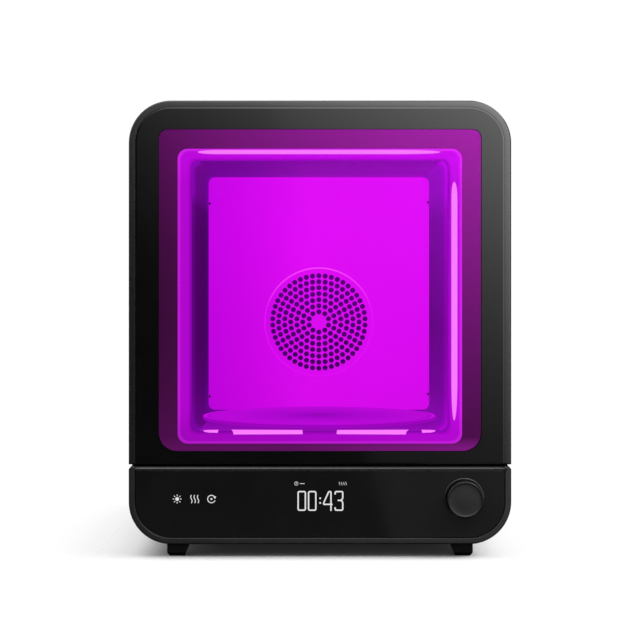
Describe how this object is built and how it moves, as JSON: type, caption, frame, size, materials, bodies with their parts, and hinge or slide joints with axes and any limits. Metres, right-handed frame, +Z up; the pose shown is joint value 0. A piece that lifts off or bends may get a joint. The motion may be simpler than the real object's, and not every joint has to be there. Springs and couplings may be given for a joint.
{
  "type": "resin curing station",
  "caption": "Desktop ultraviolet curing station with a tinted glass door, a lit chamber, a turntable, a display and a push-and-turn knob.",
  "frame": {"origin": "centre of the footprint, on the surface the feet stand on", "axes": "+X to the right seen from the front, +Y towards the back, +Z up"},
  "size_m": [0.275, 0.293, 0.328],
  "materials": {
    "shell_black": "fine-textured satin black",
    "rim_grey": "satin dark grey",
    "gloss_black": "polished black",
    "matte_black": "matt black",
    "knob_black": "satin black",
    "tinted_glass": "tinted, with a black printed border",
    "clear_disc": "clear acrylic lit violet",
    "chamber_sheet": "polished sheet lit violet",
    "chamber_lip": "polished flare lit violet",
    "lamp_glow": "lit diffuser",
    "display_white": "lit segments and printed marks",
    "white_plastic": "matt white",
    "circuit_board": "green solder mask",
    "rubber": "matt black",
    "steel": "zinc plated",
    "aluminium": "plain",
    "bronze": "sintered"
  },
  "bodies": {
    "chassis": {"housing_shell": "shell_black", "rear_cover": "shell_black", "front_panel": "matte_black", "base_tray": "steel", "foot_front_left": "rubber", "foot_front_right": "rubber", "foot_rear_left": "rubber", "foot_rear_right": "rubber", "control_pod": "rim_grey", "control_fascia": "gloss_black", "display_module": "matte_black", "control_board": "circuit_board", "knob_bezel": "steel", "encoder_body": "steel", "hinge_bracket_lower": "steel", "hinge_bracket_upper": "steel", "hinge_pin_lower": "steel", "hinge_pin_upper": "steel", "strike_plate_lower": "steel", "strike_plate_upper": "steel", "door_seal": "rubber", "door_sensor": "matte_black", "chamber_lip": "chamber_lip", "chamber_wall_left": "chamber_sheet", "chamber_wall_right": "chamber_sheet", "chamber_ceiling": "chamber_sheet", "chamber_floor": "chamber_sheet", "chamber_back_wall": "chamber_sheet", "lamp_board_left": "white_plastic", "lamp_board_right": "white_plastic", "lamp_board_top": "white_plastic", "heat_sink_left": "aluminium", "heat_sink_right": "aluminium", "heat_sink_top": "aluminium", "turntable_bearing": "bronze", "turntable_motor": "steel", "air_grille": "chamber_sheet", "heater_element": "bronze", "circulation_duct": "aluminium", "circulation_motor": "matte_black", "exhaust_fan_frame": "matte_black", "exhaust_guard": "matte_black", "power_inlet": "matte_black", "switch_housing": "matte_black", "power_supply": "aluminium", "main_board": "circuit_board"},
    "door": {"door_frame": "rim_grey", "door_glass": "tinted_glass", "door_inner_frame": "gloss_black", "door_magnet_lower": "steel", "door_magnet_upper": "steel"},
    "knob_button": {"knob_plunger": "white_plastic"},
    "knob": {"knob_cap": "knob_black", "knob_shaft": "steel"},
    "turntable": {"turntable_disc": "clear_disc", "turntable_spindle": "steel"},
    "circulation_fan": {"circulation_impeller": "aluminium"},
    "exhaust_fan": {"exhaust_fan_rotor": "matte_black"},
    "power_rocker": {"power_rocker": "gloss_black"}
  },
  "joints": [
    {"name": "door_hinge", "type": "hinge", "parent": "chassis", "child": "door", "pos_m": [-0.1315, -0.1195, 0.185], "axis": [0, 0, -1], "range_deg": [0, 100]},
    {"name": "knob_press", "type": "slide", "parent": "chassis", "child": "knob_button", "axis": [0, 1, 0], "range_m": [0, 0.001], "stiffness_N_per_m": 1500, "springref_m": -0.001},
    {"name": "knob_turn", "type": "hinge", "parent": "knob_button", "child": "knob", "pos_m": [0.1036, -0.14, 0.0423], "axis": [0, 1, 0], "continuous": true},
    {"name": "turntable_spin", "type": "hinge", "parent": "chassis", "child": "turntable", "pos_m": [0, -0.006, 0.09], "axis": [0, 0, 1], "continuous": true},
    {"name": "circulation_fan_spin", "type": "hinge", "parent": "chassis", "child": "circulation_fan", "pos_m": [0, 0.1235, 0.1627], "axis": [0, 1, 0], "continuous": true},
    {"name": "exhaust_fan_spin", "type": "hinge", "parent": "chassis", "child": "exhaust_fan", "pos_m": [0.07, 0.1313, 0.255], "axis": [0, 1, 0], "continuous": true},
    {"name": "power_rocker_tilt", "type": "hinge", "parent": "chassis", "child": "power_rocker", "pos_m": [-0.05, 0.1405, 0.04], "axis": [1, 0, 0], "range_deg": [-14, 0]}
  ]
}
